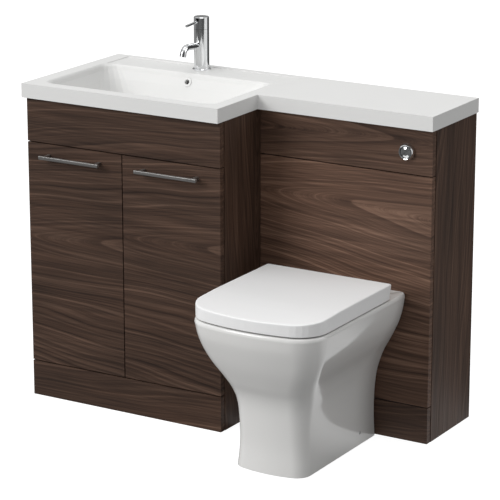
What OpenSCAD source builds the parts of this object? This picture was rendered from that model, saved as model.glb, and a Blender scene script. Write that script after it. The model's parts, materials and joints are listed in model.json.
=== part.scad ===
// Toilet and basin combination unit: a two-door basin cabinet beside a WC cabinet with a concealed
// cistern, one L-shaped moulded top with its bowl, a mono tap and a back-to-wall pan with seat and lid.
// X runs to the right, +Y towards the wall, Z up from the floor. X = 0 is the middle of the cabinets,
// Y = 0 is midway between the wall and the front of the pan.

/* [Cabinets] */
// Width of the basin cabinet
basin_w = 600; // [560:10:800]
// Width of the WC cabinet
wc_w = 500; // [480:10:600]
// Wall to the door faces of the basin cabinet
basin_d = 442; // [430:2:520]
// Wall to the face of the WC cabinet
wc_d = 245; // [235:2:300]
// Height of the cabinets under the top
cab_h = 828; // [800:2:860]
// Height of the joint line above the plinths
plinth_h = 98; // [80:1:120]
// Height of the fascias under the top
fascia_h = 120; // [110:1:140]
// Thickness of the boards
board = 18; // [15:1:19]
// Thickness of the basin cabinet's back panel
back_t = 6; // [3:1:8]
// Service space between the back panel and the wall
service_d = 74; // [60:1:90]
// Gap between neighbouring fronts
front_gap = 3; // [2:0.5:4]
// Gap between the fronts and the board edges behind them
stand_off = 2; // [1.5:0.5:3]
// Height of the shelf's upper face
shelf_z = 398; // [300:1:430]

/* [Top] */
// Height of the top's edge
top_t = 38; // [30:1:45]
// Thickness of the top's slab between its edges
slab_t = 16; // [12:1:20]
// Width of the solid edge under the slab
skirt_w = 24; // [20:1:30]
// Overhang in front of the door faces
over_front = 15; // [8:1:20]
// Overhang beside the cabinets
over_side = 5; // [2:1:8]
// Depth of the tap deck below the rim
deck_drop = 2; // [1.5:0.5:6]
// Width of the raised ridge along the wall
ridge_w = 18; // [14:1:24]

/* [Bowl] */
// Width of the bowl's mouth
bowl_w = 520; // [440:10:520]
// Front to back length of the bowl's mouth
bowl_l = 301; // [280:1:310]
// Width of the rim in front of the bowl
rim_front = 42; // [30:1:50]
// Depth of the bowl at the waste
bowl_depth = 121; // [110:1:130]
// Wall of the bowl
bowl_wall = 8; // [6:1:10]
// Radius of the waste hole
waste_r = 22.5; // [20:0.5:24]
// Radius of the overflow hole's insert
overflow_r = 12; // [10:0.5:13]

/* [Tap] */
// Wall to the tap's axis
tap_back = 50; // [46:1:56]
// Radius of the tap's body
tap_r = 21; // [18:0.5:24]
// Height of the body up to the cap's seam
tap_h = 111; // [95:1:140]
// Height of the cap
cap_h = 32.5; // [28:0.5:40]
// Height of the spout's root above the deck
spout_h = 66; // [55:1:80]
// Radius of the spout
spout_r = 8.5; // [7:0.5:10]
// Length of the straight spout from the tap's axis
spout_l = 72; // [60:1:90]
// Radius of the lever pin
lever_r = 3.6; // [3:0.1:4.5]
// Length of the lever from the tap's axis
lever_l = 76; // [60:1:90]

/* [Doors] */
// Length of the bar handles
handle_l = 188; // [170:1:240]
// Distance between the handle's posts
handle_pitch = 160; // [128:32:160]
// Height of the handle's bar
handle_h = 9; // [7:0.5:12]
// Thickness of the handle's bar
handle_t = 8; // [6:0.5:10]
// Distance of the bar's face from the door
handle_reach = 31; // [26:1:36]
// Height of the handles above the doors' middle
handle_rise = 272; // [200:1:280]
// Radius of the hinge cups
cup_r = 17.5; // [13:0.5:17.5]
// Depth of the hinge cups
cup_d = 11.5; // [10:0.5:12.5]
// Distance of the hinges from the ends of the doors
hinge_in = 90; // [70:1:120]

/* [WC] */
// Wall to the front of the pan
pan_reach = 745; // [700:5:780]
// Height of the pan's rim
rim_z = 398; // [390:1:410]
// Half width of the pan at its rim
pan_half = 183; // [175:1:190]
// Wall of the pan
pan_wall = 12; // [10:1:14]
// Radius of the pan's outlet
outlet_r = 51; // [48:0.5:55]
// Height of the outlet's axis
outlet_z = 180; // [175:1:190]
// Radius of the flush inlet
inlet_r = 27.5; // [24:0.5:30]
// Height of the flush inlet's axis
inlet_z = 332; // [325:1:340]
// Height of the lid's upper face above the floor
lid_z = 441; // [436:1:446]
// Gap between the rim and the lid's lower edge
lid_gap = 4; // [3:0.5:6]
// Wall of the lid
lid_wall = 4.5; // [4:0.5:6]
// Distance between the seat's hinge posts
hinge_pitch = 155; // [130:1:160]
// Radius of the seat's hinge pins
seat_pin_r = 4; // [3:0.5:5]
// Radial running clearance of pins in bores
run = 0.08; // [0.05:0.01:0.1]
// Radius of the pan's trapway
trap_bore = 30; // [27:1:32]

/* [Flush] */
// Radius of the button's bezel
bezel_r = 22; // [20:0.5:28]
// Distance the bezel stands out of the fascia
bezel_out = 12; // [8:0.5:16]
// Distance of the button's axis from the cabinet's right face
button_in = 72; // [60:1:110]
// Height of the button's axis above the fascia's lower edge
button_rise = 58; // [50:1:62]
// Travel of the flush buttons
button_travel = 5; // [4:0.5:7]
// Width of the concealed cistern
tank_w = 380; // [340:10:400]
// Depth of the concealed cistern
tank_d = 140; // [120:5:145]
// Height of the concealed cistern
tank_h = 300; // [260:5:310]
// Radius of the flush pipe
flush_r = 20; // [18:0.5:24]

/* [Hidden] */
$fn = 48;

// The planes that everything else is set out from
left_x = -(basin_w + wc_w) / 2;
mid_x = left_x + basin_w;
right_x = mid_x + wc_w;
wall_y = pan_reach / 2;
door_y = wall_y - basin_d;
wc_y = wall_y - wc_d;
edge_y = door_y + board + stand_off;
wc_edge_y = wc_y + board + stand_off;
joint_z = cab_h - fascia_h;
top_z = cab_h + top_t;
bowl_x = left_x + basin_w / 2;
pan_x = mid_x + wc_w / 2;
half_gap = front_gap / 2;
shadow_gap = 3;
edge_gap = 1;
touch = 0.01;

// Bowl
bowl_left = bowl_x - bowl_w / 2;
bowl_right = bowl_x + bowl_w / 2;
bowl_front = door_y - over_front + rim_front;
bowl_back = bowl_front + bowl_l;
bowl_z = top_z - bowl_depth;
deck_z = top_z - deck_drop;
waste_y = bowl_front + 172;
waste_plate_r = 33;
waste_seat = 2;
duct_w = 34;
duct_wall = 5;
overflow_z = top_z - 25;

// Tap
tap_y = wall_y - tap_back;
base_ring_h = 4;
base_ring_r = tap_r + 4.5;
body_z = deck_z + base_ring_h;
seam_z = deck_z + tap_h;
cap_gap = 0.6;
cartridge_r = 16;
cartridge_h = 30;
stud_r = 4;
lever_drop = 4;
lever_rise = cap_h - 10;
lever_pivot_y = -10;
lever_pin_r = 1.5;
cap_bore_r = tap_r - 4;

// Doors and hinges
door_w = (basin_w - 2 * edge_gap - front_gap) / 2;
door_z = plinth_h + half_gap;
door_h = joint_z - plinth_h - front_gap;
handle_z = door_z + door_h / 2 + handle_rise;
screw_r = 2;
screw_gap = 0.05;
cup_in = 22.5;
cup_wall = 1.2;
hinge_zs = [door_z + hinge_in, door_z + door_h - hinge_in];

// Trap and waste pipe
pipe_r = 16;
pipe_wall = 2;
trap_r = 30;
socket_gap = 0.6;
trap_in_z = bowl_z - 82;
trap_out_z = bowl_z - 140;

// Pan, seat and lid
pan_back = wc_y;
pan_front = wall_y - pan_reach;
lid_back = pan_back - 77;
lid_front = pan_front + 3;
lid_half = pan_half - 2;
lid_low = rim_z + lid_gap;
seat_pivot = [lid_back - 12, rim_z + 17];
lug_r = 8;
lug_w = 11;
post_w = 20;

// Flush
button_x = right_x - button_in;
button_z = joint_z + button_rise;
plate_r = 15.5;
tank_y = wall_y - board - 12 - tank_d;
tank_z = 440;
tank_wall = 4;
valve_x = pan_x;
fill_x = pan_x + tank_w / 2 - 36;

// ---------------------------------------------------------------- shared shapes

// A box from one corner to the opposite one
module block(a, b) translate(a) cube(b - a);

// A rectangle with round corners, centred
module round_rect(w, h, r) {
    square([w - 2 * r, h], center = true);
    square([w, h - 2 * r], center = true);
    for (x = [-1, 1], y = [-1, 1]) translate([x * (w / 2 - r), y * (h / 2 - r)]) circle(r);
}

// Cylinders along X and along Y, from a point towards larger coordinates
module rod_x(p, r, l) translate(p) rotate([0, 90, 0]) cylinder(r = r, h = l);
module rod_y(p, r, l) translate(p) rotate([-90, 0, 0]) cylinder(r = r, h = l);
module rod_z(p, r, l) translate(p) cylinder(r = r, h = l);

// A tube along Z
module tube_z(p, r, inner, l) translate(p) difference() {
    cylinder(r = r, h = l);
    translate([0, 0, -1]) cylinder(r = inner, h = l + 2);
}

// A closed solid through rings of equal length, with a fan from a middle point at each end
module loft(rings, first, last) {
    n = len(rings[0]);
    m = len(rings);
    points = concat([for (ring = rings) each ring], [first, last]);
    walls = [for (j = [0 : m - 2], i = [0 : n - 1]) let (a = j * n + i, b = j * n + (i + 1) % n)
        each [[a, b, b + n], [a, b + n, a + n]]];
    ends = [for (i = [0 : n - 1]) let (k = (i + 1) % n, e = (m - 1) * n)
        each [[k, i, m * n], [e + i, e + k, m * n + 1]]];
    polyhedron(points, concat(walls, ends));
}

// A smooth value through rows of numbers, u from 0 to the last row
function spline(rows, u) = let (
    last = len(rows) - 1,
    i = min(floor(u), last - 1),
    t = u - i,
    p0 = rows[max(i - 1, 0)], p1 = rows[i], p2 = rows[i + 1], p3 = rows[min(i + 2, last)])
    0.5 * (2 * p1 + t * (p2 - p0) + t * t * (2 * p0 - 5 * p1 + 4 * p2 - p3)
        + t * t * t * (3 * p1 - p0 - 3 * p2 + p3));

// A rounded rectangle as a ring of points, from its corners and one radius
function round_ring(x0, x1, y0, y1, r, z) = let (n = 5, corners = [
    [x1 - r, y0 + r, -90], [x1 - r, y1 - r, 0], [x0 + r, y1 - r, 90], [x0 + r, y0 + r, 180]])
    [for (c = corners, i = [0 : n]) let (a = c.z + 90 * i / n)
        [c.x + r * cos(a), c.y + r * sin(a), z]];

// The right half of a pan or lid outline, from the middle of its front to the middle of its back:
// a bow of radius bow, a corner of radius rf, a straight side and a back corner of radius rb
function half_outline(w, back, front, rb, rf, bow) = let (
    far = sqrt(pow(bow - rf, 2) - pow(w - rf, 2)),
    cy = front + bow - far,
    turn = atan2(w - rf, far),
    nb = 3, nf = 7, ns = 4, nc = 3)
    concat(
        [for (i = [0 : nb]) let (a = turn * i / (nb + 1)) [bow * sin(a), front + bow - bow * cos(a)]],
        [for (i = [0 : nf]) let (a = turn + (90 - turn) * i / nf)
            [w - rf + rf * sin(a), cy - rf * cos(a)]],
        [for (i = [1 : ns]) [w, cy + (back - rb - cy) * i / (ns + 1)]],
        [for (i = [0 : nc]) let (a = 90 * i / nc) [w - rb + rb * cos(a), back - rb + rb * sin(a)]],
        [[(w - rb) / 2, back], [0, back]]);

// The whole outline around the pan's axis, as a ring at the height z
function pan_ring(w, back, front, rb, rf, bow, z) = let (
    right = half_outline(w, back, front, rb, rf, bow),
    last = len(right) - 1,
    left = [for (i = [last - 1 : -1 : 1]) [-right[i].x, right[i].y]])
    [for (p = concat(right, left)) [pan_x + p.x, p.y, z]];

// ---------------------------------------------------------------- basin cabinet

pin_r = 2.5;
pin_l = 9;
pin_inset = 50;
shelf_front = edge_y + 22;
shelf_back = wall_y - service_d - back_t - 4;

// Side board with the holes for the shelf pins on its inner face
module basin_side(x, inner) {
    color([0.27, 0.2, 0.17]) difference() {
        block([x, edge_y, 0], [x + board, wall_y, cab_h]);
        for (y = [shelf_front + pin_inset, shelf_back - pin_inset])
            rod_x([inner - (inner > x ? pin_l : touch), y, shelf_z - board - pin_r], pin_r + run,
                pin_l + touch);
    }
}

module basin_left_side() basin_side(left_x, left_x + board);
module basin_right_side() basin_side(mid_x - board, mid_x - board);

module basin_base() color([0.27, 0.2, 0.17])
    block([left_x + board, edge_y, plinth_h], [mid_x - board, wall_y - service_d, plinth_h + board]);

// Back panel, with a clear hole for the waste pipe
module basin_back() color([0.3, 0.23, 0.2]) difference() {
    block([left_x + board, wall_y - service_d - back_t, plinth_h + board],
        [mid_x - board, wall_y - service_d, joint_z]);
    rod_y([bowl_x, wall_y - service_d - back_t - 1, trap_out_z], pipe_r + 6, back_t + 2);
}

// Front and rear rails between the sides of the basin cabinet
module basin_rails() {
    block([left_x + board, edge_y, joint_z + 4], [mid_x - board, edge_y + board, joint_z + 58]);
    block([left_x + board, wall_y - board, joint_z + 20], [mid_x - board, wall_y, cab_h]);
}

module shelf() color([0.27, 0.2, 0.17])
    block([left_x + board + edge_gap / 2, shelf_front, shelf_z - board],
        [mid_x - board - edge_gap / 2, shelf_back, shelf_z]);

module shelf_pins() color("silver")
    for (x = [left_x + board - pin_l, mid_x - board - pin_l],
         y = [shelf_front + pin_inset, shelf_back - pin_inset])
        rod_x([x, y, shelf_z - board - pin_r], pin_r, 2 * pin_l);

module basin_fascia() color([0.3, 0.22, 0.19])
    block([left_x + edge_gap, door_y, joint_z + half_gap],
        [mid_x - edge_gap, door_y + board, cab_h - shadow_gap]);

module basin_plinth() color([0.3, 0.22, 0.19])
    block([left_x + edge_gap, door_y, 0],
        [mid_x - edge_gap, door_y + board, plinth_h - half_gap]);

// ---------------------------------------------------------------- doors

// Places a left-hand piece, or mirrors it for the right-hand door
module on_door(side) translate([bowl_x, 0, 0]) mirror([side > 0 ? 1 : 0, 0, 0]) children();

door_x = -basin_w / 2 + edge_gap;
handle_x = door_x + door_w / 2;

// A left-hand door: board with hinge cup recesses and handle screw holes
module door() color([0.3, 0.22, 0.19]) difference() {
    block([door_x, door_y, door_z], [door_x + door_w, door_y + board, door_z + door_h]);
    for (z = hinge_zs)
        rod_y([door_x - edge_gap + cup_in, door_y + board - cup_d, z], cup_r + run, cup_d + 1);
    for (s = [-1, 1])
        rod_y([handle_x + s * handle_pitch / 2, door_y - 1, handle_z], screw_r + 0.4, board + 2);
}

module left_door() on_door(-1) door();
module right_door() on_door(1) door();

post_t = 9;
screw_in = 10;

// Bar handle: a bar with slightly rounded edges on two square posts
module handle() color([0.62, 0.62, 0.6]) difference() {
    union() {
        translate([handle_x - handle_l / 2, door_y - handle_reach + handle_t / 2, handle_z])
            rotate([90, 0, 90]) linear_extrude(handle_l) round_rect(handle_t, handle_h, 1.5);
        for (s = [-1, 1]) translate([handle_x + s * handle_pitch / 2, door_y, handle_z])
            rotate([90, 0, 0]) linear_extrude(handle_reach - handle_t + 1)
                round_rect(post_t, handle_h - 1, 1.5);
    }
    for (s = [-1, 1])
        rod_y([handle_x + s * handle_pitch / 2, door_y - screw_in, handle_z],
            screw_r + screw_gap, screw_in + 1);
}

module left_handle() on_door(-1) handle();
module right_handle() on_door(1) handle();

// Pan head screws through the door into the handle's posts
module handle_screws() color("silver") for (s = [-1, 1]) {
    rod_y([handle_x + s * handle_pitch / 2, door_y - screw_in + 1, handle_z], screw_r,
        board + screw_in - 1);
    rod_y([handle_x + s * handle_pitch / 2, door_y + board, handle_z], screw_r * 2, 1.8);
}

module left_handle_screws() on_door(-1) handle_screws();
module right_handle_screws() on_door(1) handle_screws();

// Hinge cups: a drawn cup with a flange that is screwed to the back of the door
flange_t = 1.2;
module hinge_cups() color("silver") for (z = hinge_zs)
    translate([door_x - edge_gap + cup_in, door_y + board, z]) rotate([90, 0, 0]) difference() {
        union() {
            cylinder(r = cup_r, h = cup_d);
            translate([0, 0, -flange_t]) linear_extrude(flange_t) union() {
                circle(cup_r);
                translate([4, 0]) round_rect(12, 62, 4);
            }
        }
        translate([0, 0, -flange_t - 1]) cylinder(r = cup_r - cup_wall, h = cup_d + flange_t);
        for (s = [-1, 1]) translate([4, s * 26, -flange_t - 1]) cylinder(r = 2.2, h = flange_t + 2);
    }

module left_hinge_cups() on_door(-1) hinge_cups();
module right_hinge_cups() on_door(1) hinge_cups();

// Mounting plates on the side boards and the arms that reach forward from them
arm_x = -basin_w / 2 + board;
module hinge_arm(z) {
    difference() {
        block([arm_x, edge_y + 22, z - 26], [arm_x + 3, edge_y + 58, z + 26]);
        for (s = [-1, 1]) rod_x([arm_x - 1, edge_y + 37, z + s * 16], 3, 5);
    }
    difference() {
        block([arm_x + 3, edge_y + 4, z - 8], [arm_x + 14, edge_y + 62, z + 8]);
        block([arm_x + 2, edge_y + 3, z - 6.5], [arm_x + 12.5, edge_y + 24, z + 6.5]);
    }
    rod_x([arm_x + 13, edge_y + 50, z], 3.5, 2.4);
}
module hinge_arms() color("silver") for (side = [-1, 1], z = hinge_zs) on_door(side) hinge_arm(z);

// Angle brackets that hold the fixed fronts to the side boards
bracket_l = 26;
bracket_h = 20;
bracket_t = 2;
module bracket(x, dir, y, z) translate([x, y, z]) mirror([dir < 0 ? 1 : 0, 0, 0]) {
    block([0, 0, -bracket_h / 2], [bracket_t, bracket_l, bracket_h / 2]);
    block([0, 0, -bracket_h / 2], [bracket_l, bracket_t - 0.2, bracket_h / 2]);
}
module panel_brackets() color("silver") {
    basin_zs = [cab_h - 36, plinth_h / 2];
    wc_zs = [cab_h - 36, joint_z - 60, plinth_h + 60, bracket_h / 2];
    for (z = basin_zs) {
        bracket(left_x + board, 1, door_y + board, z);
        bracket(mid_x - board, -1, door_y + board, z);
    }
    for (z = wc_zs) {
        bracket(mid_x + board, 1, wc_y + board, z);
        bracket(right_x - board, -1, wc_y + board, z);
    }
}

// ---------------------------------------------------------------- top with bowl

// Plan of the L-shaped top, drawn in by d
module top_plan(d = 0) {
    x0 = left_x - over_side + d;
    x1 = right_x + over_side - d;
    xs = mid_x + edge_gap - d;
    y0 = door_y - over_front + d;
    ys = wc_y - over_front + d;
    polygon([[x0, y0], [xs, y0], [xs, ys], [x1, ys], [x1, wall_y - d], [x0, wall_y - d]]);
}

// Bowl sections: height below the rim, inset of the three steep sides, inset of the gentle right
// side and corner radius
bowl_rows = [[-1, -5, -8, 30], [0.3, -4, -6, 30], [2, -1, -1, 32], [6, 2, 9, 36], [16, 5, 24, 40],
    [38, 15, 46, 48], [66, 25, 68, 56], [90, 34, 88, 60], [106, 46, 104, 62], [116, 66, 122, 60],
    [119, 96, 150, 50]];

function bowl_ring(row, grow, z) = round_ring(
    bowl_left + row[1] - grow, bowl_right - row[2] + grow,
    bowl_front + row[1] - grow, bowl_back - row[1] + grow, row[3] + grow, z);

// The hollow of the bowl, or with grow its outside
module bowl_hollow() loft(
    [for (row = bowl_rows) bowl_ring(row, 0, top_z - row[0] * bowl_depth / 121)],
    [bowl_x, waste_y, top_z + 1], [bowl_x, waste_y, bowl_z]);

module bowl_outside() loft(
    concat([bowl_ring(bowl_rows[4], bowl_wall, top_z - slab_t / 2)],
        [for (i = [4 : len(bowl_rows) - 1])
            bowl_ring(bowl_rows[i], bowl_wall, top_z - bowl_rows[i][0] * bowl_depth / 121 - bowl_wall)]),
    [bowl_x, waste_y, top_z - slab_t / 2], [bowl_x, waste_y, bowl_z - bowl_wall]);

// Overflow duct down the outside of the bowl's back wall and under it to the waste, grown by g.
// Its front follows the bowl: depth below the rim and distance from the mouth's back edge.
duct_front = [[14, 4], [24, 4], [46, -6], [74, -16], [98, -25], [114, -37], [124, -57], [130, -84]];
duct_back = [[141, -66], [130, -42], [114, -23], [98, -13], [74, -5], [46, 5], [24, 14], [14, 14]];
module duct(w, g) translate([bowl_x - w / 2, 0, 0]) rotate([90, 0, 90]) linear_extrude(w) polygon(concat(
    [for (p = duct_front) [bowl_back + p[1], top_z - p[0] * bowl_depth / 121 + (p[0] < 20 ? g : 0)]],
    [[waste_y + waste_r - 4, bowl_z - 9], [waste_y + waste_r - 4, bowl_z - 20 - g]],
    [for (p = duct_back) [bowl_back + p[1] + g, top_z - p[0] * bowl_depth / 121 + (p[0] > 140 ? -g : 0)
        + (p[0] < 20 ? g : 0)]]));

// Axis of the overflow hole, square to the sloping back wall of the bowl
module on_overflow() translate([bowl_x, bowl_back - 9.2, overflow_z]) rotate([66, 0, 0]) children();

module basin_top() color([0.93, 0.93, 0.91]) difference() {
    union() {
        difference() {
            translate([0, 0, cab_h]) linear_extrude(top_t) top_plan();
            translate([0, 0, cab_h - 1]) linear_extrude(top_t - slab_t + 1) top_plan(skirt_w);
        }
        block([mid_x - board, wc_y, cab_h], [mid_x + board, wall_y - 1, top_z - 1]);
        bowl_outside();
        duct(duct_w + 2 * duct_wall, duct_wall);
        rod_z([bowl_x, waste_y, waste_under], waste_plate_r + 4, bowl_z - waste_under - 2);
    }
    bowl_hollow();
    // Tap deck between the rim and the ridge, which rises gently to the level of the WC side
    translate([0, wall_y - ridge_w, 0]) rotate([90, 0, 0])
        linear_extrude(bowl_back < wall_y ? wall_y - ridge_w - bowl_back + 8 : 1)
            polygon([[bowl_left, top_z + 1], [bowl_left, deck_z + 0.8], [bowl_left + 2, deck_z],
                [bowl_right - 30, deck_z], [bowl_right + 36, top_z], [bowl_right + 36, top_z + 1]]);
    rod_z([bowl_x, tap_y, cab_h - 1], tap_r - 4, top_t);
    rod_z([bowl_x, waste_y, waste_under - 1], waste_r, 40);
    rod_z([bowl_x, waste_y, bowl_z - waste_seat], waste_plate_r + 0.5, 30);
    on_overflow() translate([0, 0, -17]) cylinder(r = overflow_r, h = 30);
    duct(duct_w, 0);
}

module overflow_ring() color([0.85, 0.85, 0.86]) on_overflow() rotate_extrude() polygon([
    [6.4, -9], [overflow_r - run, -9], [overflow_r - run, 0.4], [overflow_r + 1.6, 0.4],
    [overflow_r + 0.6, 2], [7.4, 2.2], [6.4, 1]]);

// ---------------------------------------------------------------- waste and trap

waste_top = bowl_z - waste_seat;
waste_under = bowl_z - 26;
waste_low = trap_in_z + 20;
stem_r = 4;
module waste_body() color([0.8, 0.8, 0.82]) translate([bowl_x, waste_y, 0]) difference() {
    union() {
        translate([0, 0, waste_top]) rotate_extrude() polygon([[0, 0], [waste_plate_r, 0],
            [waste_plate_r, 0.8], [waste_plate_r - 6, 3], [0, 3]]);
        translate([0, 0, waste_low]) cylinder(r = waste_r - 0.5, h = waste_top - waste_low + 1);
    }
    translate([0, 0, waste_low - 1]) cylinder(r = 18, h = waste_top - waste_low - 2);
    translate([0, 0, waste_top - 6]) cylinder(r = 20, h = 20);
    translate([0, 0, bowl_z - 20]) for (a = [0, 90]) rotate(a)
        translate([-30, -5, 0]) cube([60, 10, 10]);
}

// Bridge inside the waste body that guides the plug's stem
module waste_bridge() color([0.8, 0.8, 0.82])
    translate([bowl_x, waste_y, waste_top - 32]) difference() {
        union() {
            cylinder(r = stem_r + 3, h = 8);
            for (a = [45, 135]) rotate(a) translate([-17.8, -1.5, 0]) cube([35.6, 3, 5]);
        }
        translate([0, 0, -1]) cylinder(r = stem_r + run, h = 12);
    }

module waste_plug() color([0.85, 0.85, 0.87]) translate([bowl_x, waste_y, 0]) {
    translate([0, 0, waste_top - 3]) rotate_extrude() polygon([[0, 0], [19, 0], [19, 6.4],
        [30, 6.4], [30, 8.4], [24, 10.2], [12, 11], [0, 11.2]]);
    translate([0, 0, waste_top - 40]) cylinder(r = stem_r, h = 38);
}

module waste_nut() color([0.7, 0.7, 0.72]) translate([bowl_x, waste_y, waste_under - 12])
    difference() {
        union() {
            cylinder(r = 31, h = 8, $fn = 6);
            translate([0, 0, 8]) cylinder(r = waste_plate_r, h = 4);
        }
        translate([0, 0, -1]) cylinder(r = waste_r - 0.4, h = 20);
    }

// Trap inlet: a collar nut on the waste's tail and the tube that drops into the trap
module trap_tube() color([0.9, 0.9, 0.9]) translate([bowl_x, waste_y, 0]) {
    tube_z([0, 0, waste_low - 16], 28, waste_r - 0.4, 30);
    tube_z([0, 0, waste_low - 4], 22, pipe_r - pipe_wall, 4);
    tube_z([0, 0, trap_out_z - 60], pipe_r, pipe_r - pipe_wall, waste_low - trap_out_z + 56);
}

// Bottle trap: a body with its outlet socket, closed below by a screwed cup
module trap_body() color([0.9, 0.9, 0.9]) translate([bowl_x, waste_y, 0]) difference() {
    union() {
        translate([0, 0, trap_out_z - 34]) cylinder(r = trap_r, h = 68);
        translate([0, 0, trap_out_z + 34]) cylinder(r1 = trap_r, r2 = pipe_r + 7, h = 8);
        translate([0, 0, trap_out_z + 42]) cylinder(r = pipe_r + 7, h = 12);
        rod_y([0, 0, trap_out_z], pipe_r + 6, 52);
    }
    translate([0, 0, trap_out_z - 35]) cylinder(r = trap_r - 3, h = 66);
    translate([0, 0, trap_out_z]) cylinder(r = pipe_r + 0.3, h = 60);
    rod_y([0, 0, trap_out_z], pipe_r - pipe_wall, 60);
    rod_y([0, 38, trap_out_z], pipe_r + socket_gap, 20);
}

module trap_cup() color([0.9, 0.9, 0.9]) translate([bowl_x, waste_y, trap_out_z - 78]) difference() {
    rotate_extrude() polygon([[0, 0], [24, 0], [trap_r, 8], [trap_r, 24], [trap_r + 5, 28],
        [trap_r + 5, 50], [trap_r + 0.3, 50], [trap_r + 0.3, 44], [0, 44]]);
    translate([0, 0, 5]) cylinder(r = trap_r - 5, h = 50);
    for (a = [0 : 30 : 330]) rotate(a) translate([trap_r + 6, 0, 30]) cylinder(r = 2, h = 30);
}

// Pipe from the trap's socket to the wall
module waste_pipe() color([0.9, 0.9, 0.9]) difference() {
    rod_y([bowl_x, waste_y + 40, trap_out_z], pipe_r, wall_y - waste_y - 40);
    rod_y([bowl_x, waste_y + 39, trap_out_z], pipe_r - pipe_wall, wall_y - waste_y);
}

// ---------------------------------------------------------------- tap

module tap_base_ring() color([0.85, 0.85, 0.87]) translate([bowl_x, tap_y, deck_z]) difference() {
    rotate_extrude() polygon([[0, 0], [base_ring_r, 0], [base_ring_r, 1.6], [tap_r + 1, base_ring_h],
        [0, base_ring_h]]);
    translate([0, 0, -1]) cylinder(r = tap_r - 5, h = 10);
}

bend_r = 20;
bend_a = 78;
spout_rise = 4;
tip_l = 8;

// The spout leaves the body level but for a slight rise, bends down and ends in a short tip. It is
// drawn with its plane flat, then stood up.
module spout(r, start) translate([bowl_x, tap_y, deck_z + spout_h]) rotate([90, 0, 90])
    rotate(-spout_rise) {
        translate([-spout_l, 0, 0]) rotate([0, 90, 0]) cylinder(r = r, h = spout_l - start);
        translate([-spout_l, -bend_r, 0]) rotate(90) rotate_extrude(angle = bend_a)
            translate([bend_r, 0]) circle(r);
    }

// The spout's short straight tip, from a place along it
module spout_tip(r, from, to) translate([bowl_x, tap_y, deck_z + spout_h]) rotate([90, 0, 90])
    rotate(-spout_rise) translate([-spout_l, -bend_r, 0]) rotate(90 + bend_a)
        translate([bend_r, from, 0]) rotate([-90, 0, 0]) cylinder(r = r, h = to - from);

module tap_body() color([0.85, 0.85, 0.87]) difference() {
    union() {
        rod_z([bowl_x, tap_y, body_z], tap_r, seam_z - body_z);
        spout(spout_r, tap_r - 6);
        spout_tip(spout_r + 0.3, -1, tip_l);
    }
    rod_z([bowl_x, tap_y, seam_z - cartridge_h], cartridge_r + 0.2, cartridge_h + 1);
    rod_z([bowl_x, tap_y, body_z - 1], 10, seam_z - body_z - cartridge_h - 4);
    spout(spout_r - 2.2, 8);
    spout_tip(spout_r - 1.8, -1.5, tip_l + 1);
}

module tap_aerator() color([0.6, 0.6, 0.6]) spout_tip(spout_r - 1.9, tip_l - 5, tip_l - 0.4);

module tap_cartridge() color([0.9, 0.9, 0.88]) translate([bowl_x, tap_y, seam_z - cartridge_h])
    difference() {
        cylinder(r = cartridge_r, h = cartridge_h - 10);
        translate([0, 0, cartridge_h - 20]) cylinder(r = 12, h = 20);
    }

// Turning spindle of the cartridge: a plug in the cartridge, a collar that carries the cap and a fork
// whose pin holds the lever
module tap_spindle() color([0.75, 0.75, 0.72]) translate([bowl_x, tap_y, seam_z]) {
    translate([0, 0, -19]) cylinder(r = 11.9, h = 21);
    translate([0, 0, 1.6]) cylinder(r = cap_bore_r - run, h = 8);
    for (s = [-1, 1]) block([s * 8.5 - 1.5, -13, 9], [s * 8.5 + 1.5, -7, lever_rise + 3]);
    rod_x([-9, lever_pivot_y, lever_rise], lever_pin_r, 18);
}

// Hollow cap with a slot in its front for the lever to rise in
module tap_cap() color([0.85, 0.85, 0.87]) translate([bowl_x, tap_y, seam_z]) difference() {
    translate([0, 0, cap_gap]) rotate_extrude() polygon([[0, 0], [tap_r, 0],
        [tap_r, cap_h - 1.5], [tap_r - 1.5, cap_h], [0, cap_h]]);
    translate([0, 0, -1]) cylinder(r = cap_bore_r, h = cap_h - 1.8);
    block([-lever_r - 0.4, -tap_r - 2, lever_rise - lever_r - 1.2],
        [lever_r + 0.4, -tap_r + 6, cap_h - 2.8]);
}

// Lever: a hub on the fork's pin and a plain rod that falls slightly towards its end
module tap_lever() color([0.85, 0.85, 0.87])
    translate([bowl_x, tap_y + lever_pivot_y, seam_z + lever_rise]) difference() {
        union() {
            rod_x([-6.6, 0, 0], 4.6, 13.2);
            rotate([90 + lever_drop, 0, 0]) cylinder(r = lever_r, h = lever_l + lever_pivot_y);
        }
        rod_x([-8, 0, 0], lever_pin_r + run, 16);
    }

module tap_fixing() color([0.75, 0.7, 0.5]) translate([bowl_x, tap_y, 0]) {
    translate([0, 0, deck_z - 62]) cylinder(r = stud_r, h = 61 + base_ring_h);
    translate([0, 0, top_z - slab_t - 7]) difference() {
        cylinder(r = 24, h = 7);
        translate([0, 0, -1]) cylinder(r = stud_r + 0.1, h = 20);
        translate([-14, -30, -1]) cube([28, 18, 20]);
    }
    translate([0, 0, top_z - slab_t - 15]) difference() {
        cylinder(r = 8, h = 8, $fn = 6);
        translate([0, 0, -1]) cylinder(r = stud_r + 0.1, h = 20);
    }
}

// ---------------------------------------------------------------- WC cabinet

module wc_left_side() color([0.27, 0.2, 0.17])
    block([mid_x, wc_edge_y, 0], [mid_x + board, wall_y, cab_h]);

module wc_right_side() color([0.27, 0.2, 0.17])
    block([right_x - board, wc_edge_y, 0], [right_x, wall_y, cab_h]);

housing_r = 18;
module wc_fascia() color([0.3, 0.22, 0.19]) difference() {
    block([mid_x + edge_gap, wc_y, joint_z + half_gap],
        [right_x - edge_gap, wc_y + board, cab_h - shadow_gap]);
    rod_y([button_x, wc_y - 1, button_z], housing_r + 0.3, board + 2);
}

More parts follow.
